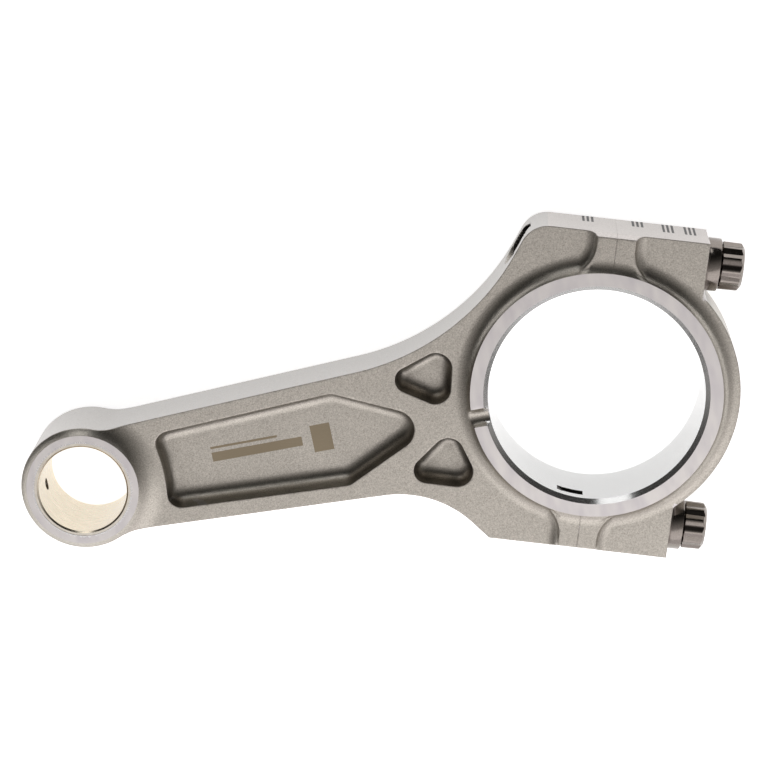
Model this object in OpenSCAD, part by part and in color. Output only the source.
// Connecting rod with an angled cap split, a bushed small end and two cap bolts.
// Big end bore on the origin, bore axes along Z, small end along -X, millimetres.

/* [Rod] */
// Distance between the two bore centres
centre_distance = 129.2; // [110:0.1:150]
// Width over the machined side faces of both ends
rod_w = 22; // [20:0.5:26]
// Thickness of the forged shank and bosses
forging_t = 16; // [13:0.2:18]
// Thickness of the web at the floor of the pockets
web_t = 5.4; // [3:0.2:8]
// Half-height of the shank at its neck, next to the small end
neck_half = 13.6; // [12.5:0.1:14.5]
// Taper angle of each shank edge
taper = 2.5; // [1:0.1:4]

/* [Big end] */
// Diameter of the big end bore
big_bore_d = 53; // [50:0.1:54]
// Outer diameter of the machined thrust ring
thrust_ring_d = 61.6; // [60:0.1:63]
// Outer diameter of the cap crown
crown_d = 70.2; // [69:0.1:72]
// Angle of the cap split, which is also the angle of the bolts
split_angle = -17.5; // [-25:0.5:-10]
// Width over the two bolt bosses
boss_w = 80.4; // [78:0.1:84]
// Thickness over the bridge that carries the joint face
bridge_t = 20; // [18:0.2:21]

/* [Cap bolts] */
// Distance between the two bolt axes
bolt_spacing = 67; // [66:0.1:68]
// Height of the bolt seats above the joint face
seat_h = 22.5; // [20:0.1:24]
// Thread diameter
thread_d = 9.52; // [9:0.01:9.6]
// Length of a bolt under its head
bolt_len = 41.1; // [38:0.1:43]
// Diameter of the bolt collar
collar_d = 13; // [12:0.1:13.2]
// Diameter over the points of the bolt head
head_d = 12.2; // [11:0.1:12.6]

/* [Small end] */
// Outer diameter of the small end
small_end_d = 31; // [30:0.1:33]
// Outer diameter of the pressed bush
bush_d = 24; // [23.4:0.1:25]
// Bore of the bush, for the piston pin
pin_bore_d = 22; // [20:0.1:22.4]
// Diameter of the oil hole in the end of the small end
oil_hole_d = 3; // [1:0.5:4]

/* [Hidden] */
$fn = 96;
eps = 0.01;

bore_chamfer = 0.7;
bush_chamfer = 0.4;
bush_l = rod_w - 0.2;
thrust_r = thrust_ring_d / 2;
flank_r = 4.3;
small_r = small_end_d / 2;
small_ring_r = small_r - 1.5;

flare_upper_r = 60;
flare_lower_r = 26;
neck_fillet_r = 12;
shoulder_round_r = 7;
shoulder_angle = 50;
heel_angle = 55;
shoulder_u = -20.6;
heel_u = -21.7;

relief_r = 8;
relief_u = 12.6;
relief_v = 37.5;
bridge_chamfer = 1.5;
joint_overrun = 3;

bolt_v = bolt_spacing / 2;
thread_hole_d = thread_d + 0.08;
cap_hole_d = 10;
lower_hole_depth = 21.5;
sleeve_l = 8;
sleeve_d = 10.8;
sleeve_bore_d = 9.9;
sleeve_gap = 0.06;
spot_face_r = 7;
collar_l = 3.1;
neck_r = 5;
neck_l = 0.5;
head_l = 5.5;
thread_l = 18;
shank_land_l = 5;

tang_z = [4.4, 7.4];
tang_depth = 1.3;
tang_cutter_r = 11;
channel_w = 4.3;
channel_depth = 1.6;

// ---- outline geometry: lines, corners and the arcs that round them ----

function unit(a) = [cos(a), sin(a)];
function cross_2d(p, q) = p.x * q.y - p.y * q.x;
function meet(p, a, q, b) = p + unit(a) * cross_2d(q - p, unit(b)) / cross_2d(unit(a), unit(b));
function tangent_l(r, a, b) = r * tan(abs(b - a) / 2);
function arc_start(c, r, a, b) = c - unit(a) * tangent_l(r, a, b);
function arc_centre(c, r, a, b) = arc_start(c, r, a, b) + sign(b - a) * r * unit(a + 90);

// Points along an arc from angle a to angle b, without its first point, moved by dx.
function arc_points(c, r, a, b, n, dx = 0) =
    [for (i = [1:n]) c + [dx, 0] + r * unit(a + i * (b - a) / n)];

// A corner rounded with radius r, from direction a into direction b.
function rounded(c, r, a, b, n) =
    let (side = sign(b - a), m = arc_centre(c, r, a, b))
    concat([arc_start(c, r, a, b)], arc_points(m, r, a - side * 90, b - side * 90, n));

function reversed(list) = [for (i = [len(list) - 1:-1:0]) list[i]];

// A point given along and across the bolts, u and v, as it lies in the rod.
function split_point(u, v) = u * unit(split_angle) + v * unit(split_angle + 90);

neck_x = -centre_distance + small_r - 1.3;
neck_top = [neck_x, neck_half];
neck_bottom = [neck_x, -neck_half];
shoulder = split_point(shoulder_u, boss_w / 2);
heel = split_point(heel_u, -boss_w / 2);
flare_top = meet(neck_top, taper, shoulder, shoulder_angle);
flare_bottom = meet(neck_bottom, -taper, heel, -heel_angle);

// The neck fillet touches the small end circle and the straight shank edge.
edge_distance = (neck_half - (neck_x + centre_distance) * tan(taper)) * cos(taper);
fillet_across = edge_distance + neck_fillet_r;
fillet_along = sqrt(pow(small_r + neck_fillet_r, 2) - pow(fillet_across, 2));
neck_fillet = fillet_along * unit(taper) + fillet_across * unit(taper + 90);
neck_turn = atan2(neck_fillet.y, neck_fillet.x);

function from_small_end(p, side) = [p.x - centre_distance, side * p.y];

// ---- shared shapes ----

module split_frame() {
    rotate(split_angle) children();
}

module at_small_end() {
    translate([-centre_distance, 0, 0]) children();
}

module plate(t) {
    linear_extrude(t, center = true) children();
}

// A round bar along the bolts, from u_from to u_to at height v.
module bolt_bar(r, u_from, u_to, v) {
    split_frame() translate([u_from, v, 0]) rotate([0, 90, 0]) cylinder(h = u_to - u_from, r = r);
}

module rod_side() {
    split_frame() translate([-200, -100, -50]) cube([200, 200, 100]);
}

module cap_side() {
    split_frame() translate([0, -100, -50]) cube([200, 200, 100]);
}

// A through bore with a chamfer at each end.
module bore(r, length, chamfer) {
    cylinder(h = length + 2, r = r, center = true);
    for (side = [0, 1]) mirror([0, 0, side])
        translate([0, 0, length / 2 - chamfer])
            cylinder(h = chamfer + eps, r1 = r, r2 = r + chamfer + eps);
}

// Half section of a round boss whose flank falls in a concave arc to the forged face.
function boss_section(r) = let(
    rise = (rod_w - forging_t) / 2,
    reach = sqrt(2 * flank_r * rise - rise * rise),
    turn = asin(reach / flank_r),
    centre = [r + reach, forging_t / 2 + flank_r])
    concat([[0, 0], [0, rod_w / 2]],
        [for (i = [0:5]) centre + flank_r * unit(270 - turn * (1 - i / 5))],
        [[centre.x, 0]]);

module boss(r) {
    for (side = [0, 1]) mirror([0, 0, side]) rotate_extrude() polygon(boss_section(r));
}

// Two raised lands that carry the joint face, hollowed by a round relief on each side.
module bridges() {
    half = boss_w / 2;
    top = bridge_t / 2;
    foot = top - bridge_chamfer;
    section = [[half, -foot], [half, foot], [half - bridge_chamfer, top], [-half + bridge_chamfer, top],
        [-half, foot], [-half, -foot], [-half + bridge_chamfer, -top], [half - bridge_chamfer, -top]];
    split_frame() difference() {
        translate([-relief_u, 0, 0]) rotate([90, 0, 90]) linear_extrude(2 * relief_u) polygon(section);
        for (u = [-relief_u, relief_u], v = [-relief_v, relief_v]) {
            translate([u, v, 0]) cylinder(h = 30, r = relief_r, center = true);
            translate([u, v + sign(v) * relief_r, 0]) cube([2 * relief_r, 2 * relief_r, 30], center = true);
        }
    }
}

// ---- rod body ----

// The fillet between the small end and the shank's upper edge.
function neck_points() = arc_points(
    neck_fillet, neck_fillet_r, neck_turn + 180, taper + 270, 4, -centre_distance);

// The upper edge of the outline, from the small end to past the joint face.
function upper_edge() = concat(
    [for (i = [0:16]) from_small_end(small_r * unit(180 - i * (180 - neck_turn) / 16), 1)],
    neck_points(),
    rounded(flare_top, flare_upper_r, taper, shoulder_angle, 14),
    rounded(shoulder, shoulder_round_r, shoulder_angle, split_angle, 8),
    [split_point(joint_overrun, boss_w / 2)]);

// The lower edge, back from past the joint face to the small end.
function lower_edge() = concat(
    [split_point(joint_overrun, -boss_w / 2), heel],
    reversed(rounded(flare_bottom, flare_lower_r, -taper, -heel_angle, 10)),
    reversed([for (p = neck_points()) [p.x, -p.y]]),
    [for (i = [15:-1:1]) from_small_end(small_r * unit(180 - i * (180 - neck_turn) / 16), -1)]);

module shank_outline() {
    polygon(concat(upper_edge(), lower_edge()));
}

// Long pocket of the shank: wide at the neck, closing to a round nose.
module main_pocket() {
    difference() {
        hull() {
            for (side = [-1, 1]) {
                translate([-105.6, side * 6.1]) circle(4, $fn = 32);
                translate([-65, side * 7]) circle(5, $fn = 32);
            }
            translate([-50.5, 0]) circle(5.1, $fn = 32);
        }
        translate([-centre_distance, 0]) circle(small_r + 4.4);
    }
}

// Three-cornered pocket between the nose of the main pocket and the thrust ring.
module corner_pocket() {
    hull() {
        translate([-44.9, 11.9]) circle(3.05, $fn = 32);
        translate([-37.2, 13.6]) circle(3.8, $fn = 32);
        translate([-38.3, 8.1]) circle(3.6, $fn = 32);
    }
}

module pockets() {
    difference() {
        plate(forging_t + 2) {
            main_pocket();
            corner_pocket();
            mirror([0, 1]) corner_pocket();
        }
        translate([-90, 0, 0]) cube([140, 60, web_t], center = true);
    }
}

// Small end, cut to the outline within the foot of its flank.
module small_end() {
    intersection() {
        plate(rod_w) shank_outline();
        at_small_end() boss(small_ring_r);
    }
}

// Oil channel across the thrust ring, on both side faces.
module oil_channels() {
    cutter_r = (pow(channel_w / 2, 2) + pow(channel_depth, 2)) / (2 * channel_depth);
    for (side = [-1, 1])
        translate([-thrust_r - 3, 0, side * (rod_w / 2 - channel_depth + cutter_r)])
            rotate([0, 90, 0]) cylinder(h = 10, r = cutter_r);
}

// Notch for the bearing tang, run out with a round cutter.
module tang_notch() {
    cutter_v = -(big_bore_d / 2 + tang_depth) + tang_cutter_r;
    split_frame() translate([0, cutter_v, tang_z[0]]) cylinder(h = tang_z[1] - tang_z[0], r = tang_cutter_r);
}

module rod_bolt_holes() {
    for (v = [-bolt_v, bolt_v]) bolt_bar(sleeve_d / 2, -sleeve_l / 2 - 0.1, 1, v);
    bolt_bar(thread_hole_d / 2, -34, 1, bolt_v);
    bolt_bar(thread_hole_d / 2, -lower_hole_depth, 1, -bolt_v);
    split_frame() translate([-lower_hole_depth, -bolt_v, 0])
        rotate([0, -90, 0]) cylinder(h = 1.9, r1 = thread_hole_d / 2, r2 = 1.2);
}

module rod_body() {
    color("#b3aca1") difference() {
        intersection() {
            union() {
                difference() {
                    plate(forging_t) shank_outline();
                    pockets();
                }
                small_end();
                boss(thrust_r);
                bridges();
            }
            rod_side();
        }
        bore(big_bore_d / 2, rod_w, bore_chamfer);
        at_small_end() bore(bush_d / 2, rod_w, 0.2);
        at_small_end() rotate([0, -90, 0]) cylinder(h = small_r + 2, r = oil_hole_d / 2);
        oil_channels();
        tang_notch();
        rod_bolt_holes();
    }
}

// ---- bearing cap ----

module cap_outline() {
    circle(crown_d / 2);
    translate([-joint_overrun, -boss_w / 2]) square([seat_h + joint_overrun, boss_w]);
}

module bearing_cap() {
    color("#b5ada3") difference() {
        intersection() {
            union() {
                split_frame() plate(forging_t) cap_outline();
                boss(thrust_r);
                bridges();
            }
            cap_side();
        }
        bore(big_bore_d / 2, rod_w, bore_chamfer);
        for (v = [-bolt_v, bolt_v]) {
            bolt_bar(cap_hole_d / 2, -1, seat_h + 1, v);
            bolt_bar((sleeve_d + sleeve_gap) / 2, -1, sleeve_l / 2 + 0.1, v);
            bolt_bar(spot_face_r, seat_h, seat_h + 20, v);
        }
    }
}

// ---- small pieces ----

module small_end_bush() {
    color("#c9a877") at_small_end() difference() {
        cylinder(h = bush_l, d = bush_d, center = true);
        bore(pin_bore_d / 2, bush_l, bush_chamfer);
        rotate([0, -90, 0]) cylinder(h = bush_d, r = oil_hole_d / 2);
    }
}

module dowel_sleeve(v) {
    color("#8d8d90") difference() {
        bolt_bar(sleeve_d / 2, -sleeve_l / 2, sleeve_l / 2, v);
        bolt_bar(sleeve_bore_d / 2, -sleeve_l, sleeve_l, v);
    }
}

module dowel_sleeve_upper() {
    dowel_sleeve(bolt_v);
}

module dowel_sleeve_lower() {
    dowel_sleeve(-bolt_v);
}

// Half-section of the bolt shank, from its tip at the bottom to the collar on top.
function shank_section() =
    let (r = thread_d / 2, waist = r - 0.65)
    [[0, -bolt_len], [r - 0.9, -bolt_len], [r, -bolt_len + 0.9], [r, -bolt_len + thread_l],
     [waist, -bolt_len + thread_l + 0.8], [waist, -shank_land_l - 0.8], [r, -shank_land_l], [r, 0],
     [collar_d / 2 - 0.3, 0], [collar_d / 2, 0.3], [collar_d / 2, collar_l - 0.4],
     [collar_d / 2 - 0.4, collar_l], [neck_r, collar_l + neck_l], [0, collar_l + neck_l]];

// Twelve-point head: two hexagons, with its end rounded down and dished.
module bolt_head() {
    crown_chamfer = 1.1;
    cone_h = head_l + eps;
    difference() {
        intersection() {
            union() for (a = [0, 30]) rotate(a) cylinder(h = head_l, d = head_d, $fn = 6);
            cylinder(h = cone_h, r1 = head_d / 2 - crown_chamfer + cone_h, r2 = head_d / 2 - crown_chamfer);
        }
        translate([0, 0, head_l - 0.8]) cylinder(h = 1, d1 = 5.4, d2 = 7.4);
    }
}

module rod_bolt(v) {
    color("#4a4846") split_frame() translate([seat_h, v, 0]) rotate([0, 90, 0]) {
        rotate_extrude() polygon(shank_section());
        translate([0, 0, collar_l + neck_l - eps]) bolt_head();
    }
}

module rod_bolt_upper() {
    rod_bolt(bolt_v);
}

module rod_bolt_lower() {
    rod_bolt(-bolt_v);
}

rod_body();
bearing_cap();
small_end_bush();
dowel_sleeve_upper();
dowel_sleeve_lower();
rod_bolt_upper();
rod_bolt_lower();
